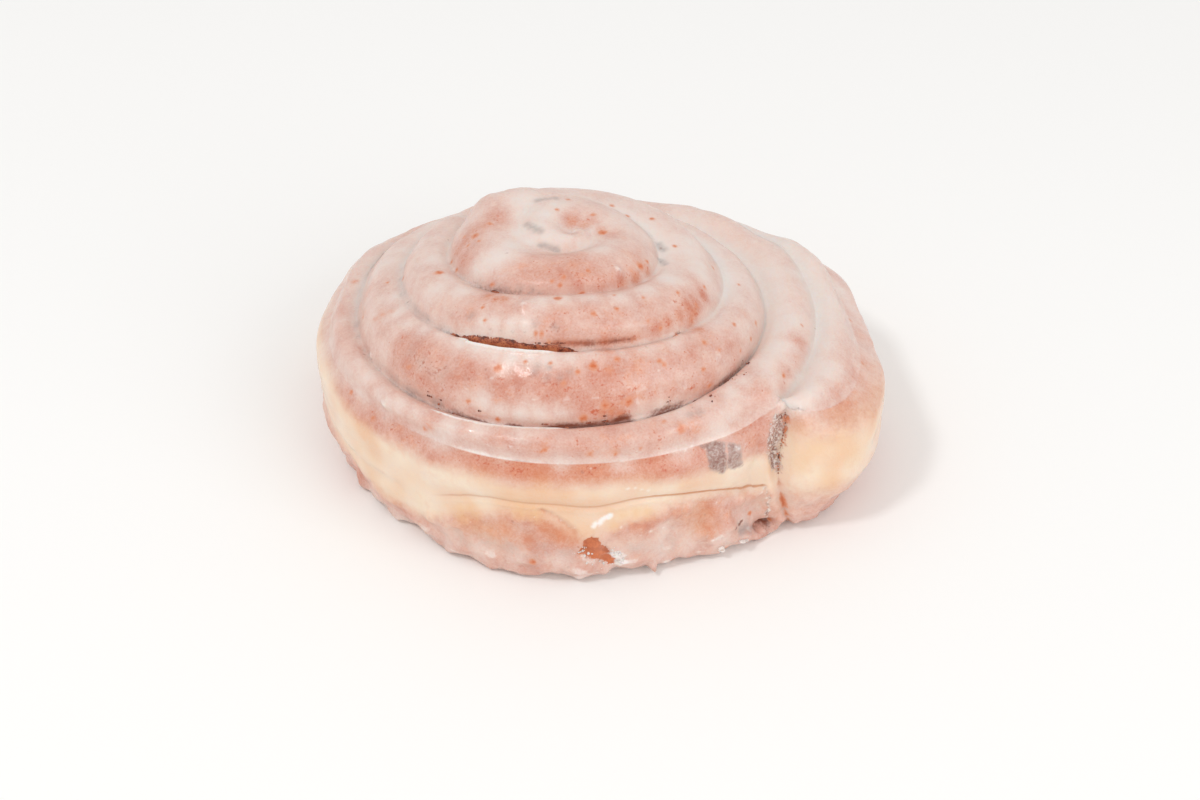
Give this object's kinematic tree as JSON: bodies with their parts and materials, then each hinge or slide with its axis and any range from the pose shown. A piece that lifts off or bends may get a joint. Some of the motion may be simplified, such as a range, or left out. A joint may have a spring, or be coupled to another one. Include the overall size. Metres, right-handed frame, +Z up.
{
  "type": "cinnamon roll",
  "caption": "Glazed cinnamon roll: a strip of fried dough wound into a low leaning spiral cone, with dark cinnamon filling in the wound gap and a rounded tail end at the side.",
  "frame": {"origin": "on the surface that the roll rests on, under the middle of its bounding box", "axes": "+Z up, +X towards the tail end's wide side, -Y towards the front, where the gap comes out beside the tail end at the front right"},
  "size_m": [0.117, 0.103, 0.0513],
  "materials": {
    "glazed_crust": "pinkish brown fried crust under a thin milky sugar glaze, pale cream band round the side",
    "cinnamon": "dark crumbly cinnamon sugar"
  },
  "bodies": {
    "root": {"dough": "glazed_crust", "cinnamon_filling": "cinnamon"}
  },
  "joints": []
}
